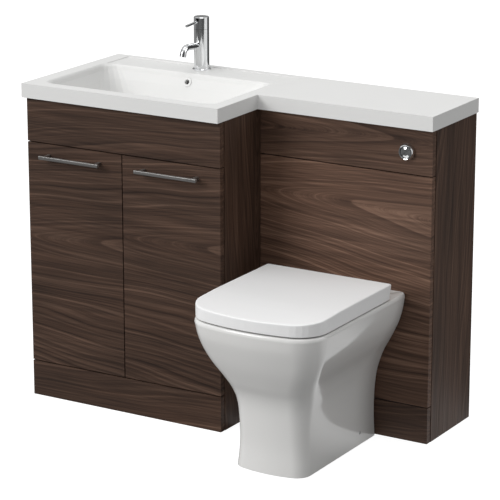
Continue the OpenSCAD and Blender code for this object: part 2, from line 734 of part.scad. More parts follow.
module wc_front_panel() color([0.3, 0.22, 0.19]) difference() {
    block([mid_x + edge_gap, wc_y, door_z], [right_x - edge_gap, wc_y + board, door_z + door_h]);
    rod_y([pan_x, wc_y - 1, outlet_z], outlet_r + 14, board + 2);
    rod_y([pan_x, wc_y - 1, inlet_z], inlet_r + 6, board + 2);
}

module wc_plinth() color([0.3, 0.22, 0.19])
    block([mid_x + edge_gap, wc_y, 0],
        [right_x - edge_gap, wc_y + board, plinth_h - half_gap]);

// Front and rear rails between the sides of the WC cabinet
module wc_rails() {
    x0 = mid_x + board;
    x1 = right_x - board;
    block([x0, wc_edge_y, cab_h - board], [x1, wc_edge_y + 60, cab_h]);
    block([x0, wc_edge_y, joint_z - 20], [x1, wc_edge_y + board, joint_z + 20]);
    block([x0, wc_edge_y, 20], [x1, wc_edge_y + board, plinth_h - 8]);
    block([x0, wall_y - board, joint_z - 20], [x1, wall_y, cab_h]);
}

// The rails of both cabinets, six boards
module rails() color([0.27, 0.2, 0.17]) {
    basin_rails();
    wc_rails();
}

// ---------------------------------------------------------------- flush button and cistern

// Domed bezel with a threaded sleeve behind the fascia and a nut that clamps it
module button_bezel() color([0.85, 0.85, 0.87]) translate([button_x, wc_y, button_z])
    rotate([90, 0, 0]) {
        difference() {
            rotate_extrude() polygon([[plate_r + 0.4, bezel_out - 2.5], [plate_r + 1.4, bezel_out - 0.6],
                [plate_r + 3, bezel_out], [bezel_r - 2.5, bezel_out - 2], [bezel_r - 0.6, bezel_out - 6],
                [bezel_r, 3], [bezel_r, 0], [housing_r, 0], [housing_r, -34], [plate_r + 0.4, -34]]);
        }
        translate([0, 0, -34]) cylinder(r = plate_r + 0.5, h = 2);
        translate([0, 0, -board - 6]) difference() {
            cylinder(r = housing_r + 8, h = 6, $fn = 6);
            translate([0, 0, -1]) cylinder(r = housing_r, h = 8);
        }
    }

// Half of the domed push plate, split on a slanting line
module push_plate(dir) translate([button_x, wc_y, button_z]) rotate([90, 0, 0]) rotate(35)
    difference() {
        union() {
            translate([0, 0, bezel_out - 14]) rotate_extrude() polygon([[0, 0], [plate_r, 0],
                [plate_r, 10], [plate_r - 2, 12.4], [plate_r - 7, 14], [0, 14.6]]);
            translate([0, dir * 7, bezel_out - 34]) cylinder(r = 3, h = 22);
        }
        translate([-30, dir > 0 ? -60 + 0.25 : -0.25, bezel_out - 40]) cube([60, 60, 60]);
    }

module full_flush_plate() color([0.85, 0.85, 0.87]) push_plate(1);
module half_flush_plate() color([0.85, 0.85, 0.87]) push_plate(-1);

tank_top = tank_z + tank_h;
module cistern_tank() color([0.86, 0.86, 0.84]) difference() {
    union() {
        translate([pan_x, tank_y + tank_d / 2, tank_z]) linear_extrude(tank_h)
            round_rect(tank_w, tank_d, 14);
        for (s = [-1, 1]) block([pan_x + s * 120 - 15, tank_y + tank_d - touch, joint_z - 10],
            [pan_x + s * 120 + 15, wall_y - board, joint_z + 16]);
        rod_z([valve_x, tank_y + tank_d / 2, tank_z - 24], flush_r + 6, 25);
    }
    translate([pan_x, tank_y + tank_d / 2, tank_z + tank_wall]) linear_extrude(tank_h)
        round_rect(tank_w - 2 * tank_wall, tank_d - 2 * tank_wall, 10);
    rod_z([valve_x, tank_y + tank_d / 2, tank_z - 25], flush_r + 0.3, 40);
    rod_z([fill_x, tank_y + tank_d / 2, tank_z - 1], shank_r + 0.35, 10);
}

module cistern_lid() color([0.86, 0.86, 0.84]) difference() {
    union() {
        translate([pan_x, tank_y + tank_d / 2, tank_top]) linear_extrude(4)
            round_rect(tank_w + 8, tank_d + 8, 16);
        translate([pan_x, tank_y + tank_d / 2, tank_top - 8]) linear_extrude(9)
            round_rect(tank_w - 2 * tank_wall - 1, tank_d - 2 * tank_wall - 1, 9.5);
    }
    translate([pan_x, tank_y + tank_d / 2, tank_top - 9]) linear_extrude(9)
        round_rect(tank_w - 2 * tank_wall - 7, tank_d - 2 * tank_wall - 7, 7);
}

fill_top = tank_top - 60;
shank_r = 10.45;
arm_pivot = [fill_x - 16, fill_top - 6];
module fill_valve() color([0.92, 0.92, 0.9]) translate([fill_x, tank_y + tank_d / 2, 0]) {
    translate([0, 0, tank_z - 30]) cylinder(r = shank_r, h = fill_top - tank_z + 30);
    translate([0, 0, tank_z + tank_wall]) cylinder(r = 16, h = 6);
    translate([0, 0, tank_z - 8]) cylinder(r = 15, h = 8, $fn = 6);
    translate([0, 0, fill_top - 20]) cylinder(r = 17, h = 34);
    for (s = [-1, 1]) block([-30, s * 8 - 2, fill_top - 14], [-10, s * 8 + 2, fill_top + 2]);
    rod_y([-24, -10, fill_top - 6], 2, 20);
}

// Float on its arm, which turns on the pin of the fill valve
float_r = 24;
module float_arm() color([0.85, 0.88, 0.9]) translate([fill_x - 24, tank_y + tank_d / 2, fill_top - 6])
    difference() {
        union() {
            rod_y([0, -5, 0], 5, 10);
            block([-60, -3, -3], [-3, 3, 3]);
            translate([-70, 0, -46]) cylinder(r = float_r, h = 50);
        }
        rod_y([0, -6, 0], 2 + run, 12);
    }

valve_seat_r = 34;
module flush_valve() color([0.9, 0.75, 0.3]) translate([valve_x, tank_y + tank_d / 2, 0]) {
    translate([0, 0, tank_z + tank_wall]) cylinder(r = valve_seat_r, h = 5);
    tube_z([0, 0, tank_z + tank_wall + 4], 16, 13, tank_h - 80);
    translate([0, 0, tank_z + tank_wall + 4]) difference() {
        cylinder(r = 28, h = 60);
        translate([0, 0, 3]) cylinder(r = 25, h = 60);
    }
}

// Rubber seal between the flush pipe and the pan's inlet
module flush_seal() color([0.25, 0.25, 0.25]) translate([pan_x, pan_back, inlet_z]) rotate([-90, 0, 0])
    rotate_extrude() polygon([[flush_r + 0.05, -24], [inlet_r - 0.3, -22], [inlet_r - 0.3, 0.3],
        [inlet_r + 4, 0.3], [inlet_r + 4, 4], [flush_r + 3, 8], [flush_r + 0.05, 8]]);

flush_bend = 45;
flush_y = tank_y + tank_d / 2;
flush_run = flush_y - flush_bend - wc_y + 36;
module flush_pipe() color([0.9, 0.9, 0.9]) difference() {
    flush_route(flush_r);
    flush_route(flush_r - 2.5);
}
module flush_route(r) {
    rod_z([pan_x, flush_y, inlet_z + flush_bend], r, tank_z - 3 - inlet_z - flush_bend);
    translate([pan_x, flush_y - flush_bend, inlet_z + flush_bend]) rotate([0, 90, 0])
        rotate_extrude(angle = 90) translate([flush_bend, 0]) circle(r);
    rod_y([pan_x, flush_y - flush_bend - flush_run, inlet_z], r, flush_run);
}

// ---------------------------------------------------------------- pan

// Outside of the pan from the floor up: height, half width, distance of the front from the pan's
// foremost point, front corner radius, radius of the bowed front
pan_rows = [[0, 102, 106, 40, 300], [60, 99, 111, 43, 305], [120, 99.7, 108, 46, 320],
    [170, 104.8, 102, 52, 345], [205, 113.5, 90, 55, 370], [240, 127, 67.5, 61, 405],
    [285, 151, 39.6, 64, 450], [322, 168, 21, 70, 480], [357, 178, 6.6, 79, 515], [388, 183, 0, 82, 543]];

function pan_outside(u, wall) = let (p = spline(pan_rows, u))
    pan_ring(p[1] - wall + pan_half - 183, pan_back - wall, pan_front + p[2] + wall,
        max(12 - wall, 2), max(p[3] - wall, 6), p[4] - wall, p[0] * (rim_z - 10) / 388);

// Hollow of the pan from the rim down: depth below the rim, half width, back and front measured from
// the pan's back and front, back and front corner radii, radius of the bow
bowl_sections = [[0, 132, 122, 48, 56, 84, 480], [8, 127, 127, 53, 58, 84, 460],
    [30, 125, 129, 56, 60, 82, 450], [80, 118, 132, 74, 60, 78, 380], [130, 100, 148, 112, 54, 70, 280],
    [175, 73, 178, 158, 44, 50, 170], [220, 54, 200, 186, 34, 38, 105], [258, 42, 198, 202, 28, 30, 80],
    [284, 30, 208, 214, 20, 22, 60]];

function pan_hollow(u, wall) = let (p = spline(bowl_sections, u))
    pan_ring(p[1] + wall, pan_back - p[2] + wall, pan_front + p[3] - wall,
        p[4] + wall, p[5] + wall, p[6] + wall, rim_z - p[0] - wall * 0.8);

sump_z = rim_z - 288;
sump_y = pan_back - 247;

// The pan is cast in three parts that are joined before firing: the skirt with the rim, the bowl under
// the rim's mouth, and the trapway. The first two meet in a level ring.
cast_z = rim_z - bowl_sections[2][0];
cast_gap = 0.3;
function bowl_neck(wall) = [for (p = pan_hollow(2, wall)) [p.x, p.y, cast_z]];

module pan_skirt() torus(concat(
    // the mouth up to the rim, and the rim's rounded edge
    [for (u = [2, 1, 0.5, 0]) pan_hollow(u, 0)],
    [for (e = [[5, 0], [2.6, 1.5], [0.8, 4.5]])
        pan_ring(pan_half - e[0], pan_back - 0.1, pan_front + e[0], 12, 80, 540, rim_z - e[1])],
    // outside, down to the floor
    [for (u = [9 : -0.5 : 0]) pan_outside(u, 0)],
    // inside of the skirt, back up, and the neck that carries the bowl
    [for (u = [0, 1.5, 3, 4, 5, 6, 7, 8, 8.7]) pan_outside(u, pan_wall)],
    [pan_hollow(1, pan_wall), bowl_neck(pan_wall)]));

// Bowl with its hollow, and the same outside, grown by gap and filled
module bowl_shell() loft(
    concat(
        [for (u = [8, 7, 6, 5.5, 5, 4.5, 4, 3.5, 3, 2.5, 2]) pan_hollow(u, 0)],
        [bowl_neck(pan_wall)],
        [for (u = [3, 4, 5, 6, 7, 8]) pan_hollow(u, pan_wall)]),
    [pan_x, sump_y, sump_z], [pan_x, sump_y, sump_z - pan_wall]);

module bowl_solid(gap) loft(
    concat([bowl_neck(pan_wall + gap)], [for (u = [3, 4, 5, 6, 7, 8]) pan_hollow(u, pan_wall + gap)]),
    [pan_x, sump_y, cast_z], [pan_x, sump_y, sump_z - pan_wall - gap]);

side_hole_y = pan_back - 86;
side_hole_z = 30;
side_hole_r = 4.5;
seat_hole_y = seat_pivot[0];

// Trapway: up from the back of the sump, round over the weir and down to the outlet
trap_bend = trap_bore + 9;
trap_turn = 142;
trap_wall = 8;
water_z = rim_z - 170;
module trapway(wall)
    translate([pan_x, pan_back - 2 * trap_bend - 2, water_z + trap_bore - trap_bend]) rotate([90, 0, 90]) {
        rotate_extrude(angle = trap_turn) translate([trap_bend, 0]) circle(trap_bore + wall);
        rotate(trap_turn) translate([trap_bend, 0, 0]) rotate([-90, 0, 0])
            cylinder(r = trap_bore + wall, h = 137 + wall);
        translate([trap_bend, 0, 0]) rotate([90, 0, 0])
            cylinder(r = trap_bore + wall, h = water_z - 9 - outlet_z);
    }

module outlet(gap) rod_y([pan_x, pan_back - 80, outlet_z], outlet_r + gap, 80 + 32);

module pan() color([0.95, 0.95, 0.94]) difference() {
    union() {
        pan_skirt();
        rod_y([pan_x, pan_back - 40, inlet_z], inlet_r + 8, 36);
    }
    trapway(trap_wall + cast_gap);
    outlet(cast_gap);
    rod_y([pan_x, pan_back - 41, inlet_z], inlet_r, 61);
    for (s = [-1, 1]) rod_z([pan_x + s * hinge_pitch / 2, seat_hole_y, rim_z - 40], 6.5, 60);
    rod_x([pan_x - 150, side_hole_y, side_hole_z], side_hole_r, 300);
}

module pan_bowl() color([0.95, 0.95, 0.94]) difference() {
    bowl_shell();
    trapway(0);
    rod_y([pan_x, pan_back - 150, inlet_z], 15, 120);
}

module pan_trap() color([0.95, 0.95, 0.94]) difference() {
    union() {
        trapway(trap_wall);
        outlet(0);
    }
    bowl_solid(cast_gap);
    trapway(0);
    rod_y([pan_x, pan_back - 45, outlet_z], outlet_r - 9, 80);
}

// Blocks on the floor inside the pan, with the screws that go into them from the sides
module floor_fixings() color([0.8, 0.8, 0.78]) for (s = [-1, 1]) translate([pan_x, side_hole_y, 0])
    mirror([s > 0 ? 1 : 0, 0, 0]) {
        difference() {
            block([-84, -16, 0], [-50, 16, 46]);
            block([-78, -17, 8], [-49, 17, 47]);
            rod_x([-90, 0, side_hole_z], 3, 20);
        }
        rod_x([-98, 0, side_hole_z], 3 - run, 24);
        rod_x([-99.5, 0, side_hole_z], side_hole_r - 0.3, 3.5);
    }

module pan_connector() color([0.3, 0.3, 0.3]) translate([pan_x, pan_back + 14, outlet_z])
    rotate([-90, 0, 0]) rotate_extrude() polygon([[outlet_r + 0.2, 0], [outlet_r + 6, 0],
        [outlet_r + 6, 8], [outlet_r + 3.5, 10], [outlet_r + 3.5, wc_d - 60], [outlet_r + 3.5, wc_d - 14],
        [outlet_r - 4, wc_d - 14], [outlet_r - 4, 22], [outlet_r + 0.2, 20]]);

// ---------------------------------------------------------------- seat and lid

pivot_y = seat_pivot[0];
pivot_z = seat_pivot[1];
pin_half = post_w / 2 + lug_w + 1.5;

// Posts on the pan, each with its bolt through the rim and its pin
module seat_hinges() color([0.85, 0.85, 0.87]) for (s = [-1, 1])
    translate([pan_x + s * hinge_pitch / 2, pivot_y, 0]) {
        difference() {
            union() {
                translate([0, 0, rim_z]) cylinder(r = post_w / 2, h = 5);
                block([-post_w / 2 + 1, -6, rim_z + 1], [post_w / 2 - 1, 6, pivot_z]);
                rod_x([-post_w / 2 + 1, 0, pivot_z], 7, post_w - 2);
            }
            rod_x([-post_w, 0, pivot_z], seat_pin_r, 2 * post_w);
        }
        rod_x([-pin_half, 0, pivot_z], seat_pin_r, 2 * pin_half);
        rod_z([0, 0, rim_z - 52], 4, 52 + touch);
        translate([0, 0, rim_z - pan_wall - 14]) difference() {
            cylinder(r = 12, h = 8, $fn = 6);
            translate([0, 0, -1]) cylinder(r = 4.1, h = 12);
        }
    }

seat_low = rim_z + 5;
seat_h = 18;
seat_half = lid_half - lid_wall - 3;
seat_back = pivot_y - 14;
seat_front = lid_front + lid_wall + 3;

// Seat ring sections: half width, back and front insets from the outside, height above seat_low
module seat_ring() {
    outer = function (d, z) pan_ring(seat_half - d, seat_back - d, seat_front + d, 14, 78 - d,
        536 - d, seat_low + z);
    inner = function (d, z) pan_ring(104 + d, seat_back - 52 + d, seat_front + 52 - d, 70 + d,
        80 + d, 300 + d, seat_low + z);
    torus([inner(4, 0), inner(1, 3), inner(0, seat_h - 10), inner(4, seat_h - 5),
        inner(16, seat_h - 1), outer(22, seat_h), outer(8, seat_h - 1), outer(1.5, 14), outer(0, 8),
        outer(0.5, 2), outer(4, 0)]);
}

// A ring-shaped solid through closed sections
module torus(rings) {
    n = len(rings[0]);
    m = len(rings);
    polyhedron([for (ring = rings) each ring],
        [for (j = [0 : m - 1], i = [0 : n - 1]) let (
            a = j * n + i, b = j * n + (i + 1) % n,
            c = ((j + 1) % m) * n + (i + 1) % n, d = ((j + 1) % m) * n + i)
            each [[a, b, c], [a, c, d]]]);
}

// An eye around the hinge pin with an arm towards y and z
module lug(x, w, to_y, z0, z1) difference() {
    union() {
        rod_x([x, pivot_y, pivot_z], lug_r, w);
        block([x, min(pivot_y, to_y), z0], [x + w, max(pivot_y, to_y), z1]);
    }
    rod_x([x - 1, pivot_y, pivot_z], seat_pin_r + run, w + 2);
}

module seat() color([0.96, 0.96, 0.95]) {
    seat_ring();
    for (s = [-1, 1]) {
        x = pan_x + s * (hinge_pitch / 2 - post_w / 2 - lug_w / 2 - 0.5) - lug_w / 2;
        lug(x, lug_w, seat_back - 8, pivot_z - 5, pivot_z + 5);
        translate([pan_x + s * 130, seat_front + 90, rim_z + 0.3]) cylinder(r = 9, h = 6);
        translate([pan_x + s * 138, seat_back - 60, rim_z + 0.3]) cylinder(r = 9, h = 6);
    }
}

// The lid wraps over the seat; its upper face falls towards the front
lid_fall = 9;
function lid_top(y) = let (t = max(0, (lid_front + 190 - y) / 190)) lid_z - lid_fall * t * t;

// Ring of the lid drawn in by d, at the lower edge where t = 0 and at the upper face less drop where
// t = 1; its back end leans forward towards the lower edge
function lid_ring(d, t, drop) = let (
    ring = pan_ring(lid_half - d, lid_back - d - 10 * (1 - t), lid_front + d, 5,
        max(80 - d, 8), max(540 - d, 300), 0))
    [for (p = ring) [p.x, p.y, lid_low + t * (lid_top(p.y) - lid_low - drop)]];

module lid_shell() loft(
    concat(
        [for (d = [140, 90, 40]) lid_ring(d, 1, -1.2 * (d - 6) / 134)],
        [lid_ring(6, 1, 0), lid_ring(2.4, 1, 0.4), lid_ring(0.6, 1, 1.4), lid_ring(0, 1, 3.2),
            lid_ring(0, 0.5, 0), lid_ring(0, 0.04, 0)],
        [lid_ring(0.8, 0, 0), lid_ring(lid_wall, 0, 0), lid_ring(lid_wall, 1, lid_wall + 8)],
        [for (d = [lid_wall + 10, 120]) lid_ring(d, 1, lid_wall + 1.5)]),
    [pan_x, (lid_back + lid_front) / 2, lid_z + 1.4],
    [pan_x, (lid_back + lid_front) / 2, lid_z - lid_wall - 1.5]);

module lid() color([0.96, 0.96, 0.95]) {
    difference() {
        lid_shell();
        // the rear wall is open round the hinge posts
        for (s = [-1, 1]) block([pan_x + s * hinge_pitch / 2 - 26, lid_back - 22, lid_low - 1],
            [pan_x + s * hinge_pitch / 2 + 26, lid_back + 2, pivot_z + 13]);
    }
    for (s = [-1, 1]) {
        x = pan_x + s * (hinge_pitch / 2 + post_w / 2 + lug_w / 2 + 0.5) - lug_w / 2;
        lug(x, lug_w, pivot_y - 5, pivot_z, lid_z - lid_wall);
        translate([pan_x + s * 120, seat_front + 40, seat_low + seat_h + 0.3])
            cylinder(r = 8, h = lid_z - lid_wall - seat_low - seat_h - 6);
    }
}

// ---------------------------------------------------------------- nodes

basin_left_side();
basin_right_side();
basin_base();
basin_back();
rails();
shelf();
shelf_pins();
basin_fascia();
basin_plinth();
left_door();
right_door();
left_handle();
right_handle();
left_handle_screws();
right_handle_screws();
left_hinge_cups();
right_hinge_cups();
hinge_arms();
panel_brackets();
basin_top();
overflow_ring();
waste_body();
waste_bridge();
waste_plug();
waste_nut();
trap_tube();
trap_body();
trap_cup();
waste_pipe();
tap_base_ring();
tap_body();
tap_aerator();
tap_cartridge();
tap_spindle();
tap_cap();
tap_lever();
tap_fixing();
wc_left_side();
wc_right_side();
wc_fascia();
wc_front_panel();
wc_plinth();
button_bezel();
full_flush_plate();
half_flush_plate();
cistern_tank();
cistern_lid();
fill_valve();
float_arm();
flush_valve();
flush_pipe();
flush_seal();
pan();
pan_bowl();
pan_trap();
floor_fixings();
pan_connector();
seat_hinges();
seat();
lid();
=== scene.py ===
"""Looks for the toilet and basin combination unit: dark walnut fronts, a white moulded top, glazed
ceramic, chrome and brushed metal, on a plain pale floor."""

import json
import math

import bpy
import numpy as np
from mathutils import Euler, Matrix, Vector


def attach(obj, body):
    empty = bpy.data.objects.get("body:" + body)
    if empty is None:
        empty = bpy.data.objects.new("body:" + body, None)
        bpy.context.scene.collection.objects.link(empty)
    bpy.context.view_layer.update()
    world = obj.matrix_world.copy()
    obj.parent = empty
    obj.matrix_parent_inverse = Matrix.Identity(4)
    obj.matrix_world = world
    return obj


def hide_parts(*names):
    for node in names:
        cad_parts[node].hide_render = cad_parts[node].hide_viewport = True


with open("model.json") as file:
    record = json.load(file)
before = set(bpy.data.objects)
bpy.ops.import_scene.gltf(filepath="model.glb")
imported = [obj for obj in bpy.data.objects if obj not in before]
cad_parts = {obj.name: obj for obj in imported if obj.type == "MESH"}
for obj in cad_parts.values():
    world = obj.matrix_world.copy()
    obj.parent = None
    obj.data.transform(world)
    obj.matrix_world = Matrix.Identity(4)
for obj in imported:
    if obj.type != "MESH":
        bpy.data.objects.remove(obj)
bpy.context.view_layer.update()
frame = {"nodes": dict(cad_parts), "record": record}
nodes = frame["nodes"]
scene = bpy.context.scene

# ------------------------------------------------------------------ colours, as they should render

BLACK, WHITE = (0.0, 0.0, 0.0), (1.0, 1.0, 1.0)
WALNUT_DARK = (0.033, 0.0165, 0.0105)
WALNUT_MID = (0.079, 0.0425, 0.0275)
WALNUT_LIGHT = (0.150, 0.087, 0.059)
CARCASS_BROWN = (0.06, 0.038, 0.028)
TOP_WHITE = (0.765, 0.765, 0.755)
CERAMIC_WHITE = (0.81, 0.805, 0.79)
SEAT_WHITE = (0.89, 0.89, 0.89)
CHROME_TINT = (0.80, 0.81, 0.82)
HANDLE_GREY = (0.42, 0.41, 0.40)
ZINC_GREY = (0.50, 0.51, 0.52)
BRASS = (0.72, 0.55, 0.28)
PLASTIC_WHITE = (0.75, 0.75, 0.74)
PLASTIC_GREY = (0.32, 0.33, 0.34)
TANK_WHITE = (0.66, 0.66, 0.64)
RUBBER_BLACK = (0.02, 0.02, 0.02)
FLOOR_PALE = (0.30, 0.30, 0.30)

# ------------------------------------------------------------------ short calls for nodes


class NodeTree:
    """Adds nodes to the tree of a material or of the world. Wherever a call takes a value, a socket
    is linked, and a number or colour is set on the socket that it is for."""

    def __init__(self, tree):
        self.tree = tree

    def feed(self, target, value):
        """Links a socket to the target, or sets a number, a vector or a colour on it."""
        if hasattr(value, "is_output"):
            self.tree.links.new(value, target)
        elif target.type == "RGBA" and isinstance(value, tuple):
            target.default_value = (*value, 1.0)
        else:
            target.default_value = value

    def node(self, kind, sockets=None, **settings):
        """A new node of a kind, with settings for its properties and sockets for its inputs."""
        made = self.tree.nodes.new(kind)
        for key, value in settings.items():
            setattr(made, key, value)
        for key, value in (sockets or {}).items():
            self.feed(made.inputs[key], value)
        return made

    def axes(self, vector):
        """The three parts of a vector, by the names X, Y and Z."""
        return self.node("ShaderNodeSeparateXYZ", {"Vector": vector}).outputs

    def math(self, operation, *values):
        return self.node("ShaderNodeMath", dict(enumerate(values)), operation=operation).outputs[0]

    def rise(self, value, start, end):
        """0 up to start, 1 from end on, and even in between."""
        sockets = {"Value": value, "From Min": start, "From Max": end}
        return self.node("ShaderNodeMapRange", sockets).outputs["Result"]

    def ramp(self, factor, *stops):
        """A colour or a grey for each place of a factor from 0 to 1, even between the stops."""
        made = self.node("ShaderNodeValToRGB", {"Fac": factor})
        elements = made.color_ramp.elements
        while len(elements) < len(stops):
            elements.new(0.5)
        for element, (place, colour) in zip(elements, stops):
            element.position = place
            element.color = (*colour, 1.0) if isinstance(colour, tuple) else (colour,) * 3 + (1.0,)
        return made.outputs["Color"]

    def mix(self, factor, first, second, blend="MIX"):
        """Two colours mixed: sockets 0, 6 and 7 and output 2 are those of a mix of colours."""
        sockets = {0: factor, 6: first, 7: second}
        return self.node("ShaderNodeMix", sockets, data_type="RGBA", blend_type=blend).outputs[2]


class Shader(NodeTree):
    """A material with one Principled shader."""

    def __init__(self, name):
        self.material = bpy.data.materials.new(name)
        self.material.use_nodes = True
        super().__init__(self.material.node_tree)
        self.position = self.node("ShaderNodeTexCoord").outputs["Object"]

    def set(self, **values):
        """Sets or links the shader's own sockets, whose names have _ for a space."""
        for key, value in values.items():
            self.feed(self.tree.nodes["Principled BSDF"].inputs[key.replace("_", " ")], value)

    def stretched(self, along, slow, fast):
        """The position scaled by slow along one axis and by fast along the two others."""
        scale = [slow if axis == along else fast for axis in "XYZ"]
        sockets = {"Vector": self.position, "Scale": scale}
        return self.node("ShaderNodeMapping", sockets).outputs["Vector"]

    def noise(self, place, scale, detail=4.0, roughness=0.5, dimensions="3D"):
        """Noise at a vector, or at a number where dimensions is 1D."""
        sockets = {"Scale": scale, "Detail": detail, "Roughness": roughness,
                   "W" if dimensions == "1D" else "Vector": place}
        return self.node("ShaderNodeTexNoise", sockets, noise_dimensions=dimensions).outputs["Fac"]

    def bump(self, height, strength, distance):
        sockets = {"Height": height, "Strength": strength, "Distance": distance}
        self.set(Normal=self.node("ShaderNodeBump", sockets).outputs["Normal"])


# ------------------------------------------------------------------ finishes

# The walnut's noises: scale along and across the grain, detail and roughness.
SWAY_GRAIN = (1.1, 4.2, 2.0, 0.45)
BAND_GRAIN = (1.6, 44.0, 4.0, 0.65)
FIBRE_GRAIN = (5.0, 190.0, 4.0, 0.6)
PATCH_GRAIN = (2.2, 7.0, 2.0, 0.5)
# The lines of its figure, a noise in one dimension: scale, detail and roughness.
LINE_GRAIN = (11.0, 6.0, 0.72)
TONGUE_SLOPE = 9.0  # how fast a tongue's line runs back along the grain
TIP_ROUNDING = 0.02  # metres
SWAY = 0.16  # how far the grain bends sideways, in metres
# Value of a noise, and the colour, shade or roughness there.
FIGURE_COLOURS = ((0.36, WALNUT_DARK), (0.5, WALNUT_MID), (0.64, WALNUT_LIGHT))
FIBRE_SHADES = ((0.34, 0.62), (0.62, 1.0))
PATCH_SHADES = ((0.32, 0.62), (0.56, 1.0))
FIBRE_ROUGHNESS = ((0.35, 0.62), (0.6, 0.5))
BAND_SHARE = 0.36  # of the bands, against the lines
FIBRE_SHARE = 0.8  # how far the fibres shade the wood
PATCH_SHARE = 0.7  # how far the patches shade it
# Most values of a noise lie between these two.
NOISE_LOW, NOISE_HIGH = 0.3, 0.7
LEAST_ROUGHNESS = 0.02
# Brushed metal: scale of the scratches along and across them, and how much smoother and rougher
# than the metal as a whole they are.
SCRATCH_ALONG, SCRATCH_ACROSS = 9.0, 700.0
SCRATCH_SMOOTHER, SCRATCH_ROUGHER = 0.08, 0.1


def walnut(name, upright, tip, opens=1.0, tone=1.0):
    """Walnut foil. From tip, u runs along the grain and v across it, and a slow noise bends v. The
    figure is a set of nested tongues: f = opens * u - TONGUE_SLOPE * sqrt(v * v + TIP_ROUNDING *
    TIP_ROUNDING) is constant along a line that turns round at v = 0 and runs nearly level on both
    sides. A one-dimensional noise of f draws those lines, a stretched noise breaks them into bands,
    a finer one adds fibres, and a slow one adds darker patches. tone makes the board lighter."""
    shader = Shader(name)
    along, across = ("Z", "Y") if upright else ("X", "Z")
    place = shader.axes(shader.position)

    def grain(slow, fast, detail, roughness):
        return shader.noise(shader.stretched(along, slow, fast), 1.0, detail, roughness)

    u = shader.math("MULTIPLY", shader.math("SUBTRACT", place[along], tip[0]), opens)
    sway = shader.math("MULTIPLY", shader.math("SUBTRACT", grain(*SWAY_GRAIN), 0.5), SWAY)
    v = shader.math("ADD", shader.math("SUBTRACT", place[across], tip[1]), sway)
    spread = shader.math("SQRT", shader.math("MULTIPLY_ADD", v, v, TIP_ROUNDING * TIP_ROUNDING))
    figure = shader.math("MULTIPLY_ADD", spread, -TONGUE_SLOPE, u)
    lines = shader.noise(figure, *LINE_GRAIN, dimensions="1D")
    fibres, patches = grain(*FIBRE_GRAIN), grain(*PATCH_GRAIN)
    stops = [(value, tuple(tone * part for part in colour)) for value, colour in FIGURE_COLOURS]
    colour = shader.ramp(shader.mix(BAND_SHARE, lines, grain(*BAND_GRAIN)), *stops)
    colour = shader.mix(FIBRE_SHARE, colour, shader.ramp(fibres, *FIBRE_SHADES), "MULTIPLY")
    colour = shader.mix(PATCH_SHARE, colour, shader.ramp(patches, *PATCH_SHADES), "MULTIPLY")
    shader.set(Base_Color=colour, Roughness=shader.ramp(fibres, *FIBRE_ROUGHNESS),
               Specular_IOR_Level=0.3)
    shader.bump(fibres, strength=0.2, distance=0.0003)
    return shader.material


def plain(name, colour, roughness, metallic=0.0, mottle=0.0, mottle_scale=20.0, coat=0.0,
          bump=0.0, specular=0.5):
    """One colour with a slow noise in its roughness, and optionally in its height."""
    shader = Shader(name)
    noise = shader.noise(shader.position, mottle_scale, detail=3.0)
    smooth, rough = max(roughness - mottle, LEAST_ROUGHNESS), roughness + mottle
    shader.set(Base_Color=colour, Metallic=metallic, Coat_Weight=coat, Specular_IOR_Level=specular,
               Roughness=shader.ramp(noise, (NOISE_LOW, smooth), (NOISE_HIGH, rough)))
    if coat:
        shader.set(Coat_Roughness=0.04)
    if bump:
        shader.bump(noise, strength=0.5, distance=bump)
    return shader.material


def brushed(name, colour, roughness, along):
    """Metal with fine scratches: noise squeezed hard across the brushing direction."""
    shader = Shader(name)
    place = shader.stretched(along, SCRATCH_ALONG, SCRATCH_ACROSS)
    scratches = shader.noise(place, 1.0, detail=2.0)
    stops = (NOISE_LOW, roughness - SCRATCH_SMOOTHER), (NOISE_HIGH, roughness + SCRATCH_ROUGHER)
    shader.set(Base_Color=colour, Metallic=1.0, Roughness=shader.ramp(scratches, *stops))
    shader.bump(scratches, strength=0.3, distance=0.00005)
    return shader.material


materials = {
    "side_wood": walnut("walnut_upright", True, (-0.5, 0.12)),
    "carcass": plain("carcass_board", CARCASS_BROWN, 0.5, mottle=0.05),
    "zinc": plain("zinc_plate", ZINC_GREY, 0.34, metallic=1.0, mottle=0.08, mottle_scale=90.0),
    "handle_metal": brushed("brushed_nickel", HANDLE_GREY, 0.44, "X"),
    "moulded_top": plain("cast_marble", TOP_WHITE, 0.4, mottle=0.03, mottle_scale=14.0,
                         specular=0.15),
    "chrome": plain("chrome_plate", CHROME_TINT, 0.07, metallic=1.0, mottle=0.015,
                    mottle_scale=40.0),
    "brass": plain("plain_brass", BRASS, 0.3, metallic=1.0, mottle=0.06, mottle_scale=120.0),
    "white_plastic": plain("white_polypropylene", PLASTIC_WHITE, 0.4, mottle=0.05, bump=0.0001),
    "grey_plastic": plain("grey_plastic", PLASTIC_GREY, 0.42, mottle=0.05, bump=0.0001),
    "tank_plastic": plain("tank_plastic", TANK_WHITE, 0.5, mottle=0.06, bump=0.0003),
    "ceramic": plain("white_glaze", CERAMIC_WHITE, 0.12, mottle=0.02, mottle_scale=9.0, coat=0.35),
    "seat_plastic": plain("white_thermoset", SEAT_WHITE, 0.36, mottle=0.02, mottle_scale=11.0),
    "rubber": plain("black_rubber", RUBBER_BLACK, 0.6, mottle=0.06),
    "spring_steel": plain("spring_steel", ZINC_GREY, 0.25, metallic=1.0, mottle=0.05),
}
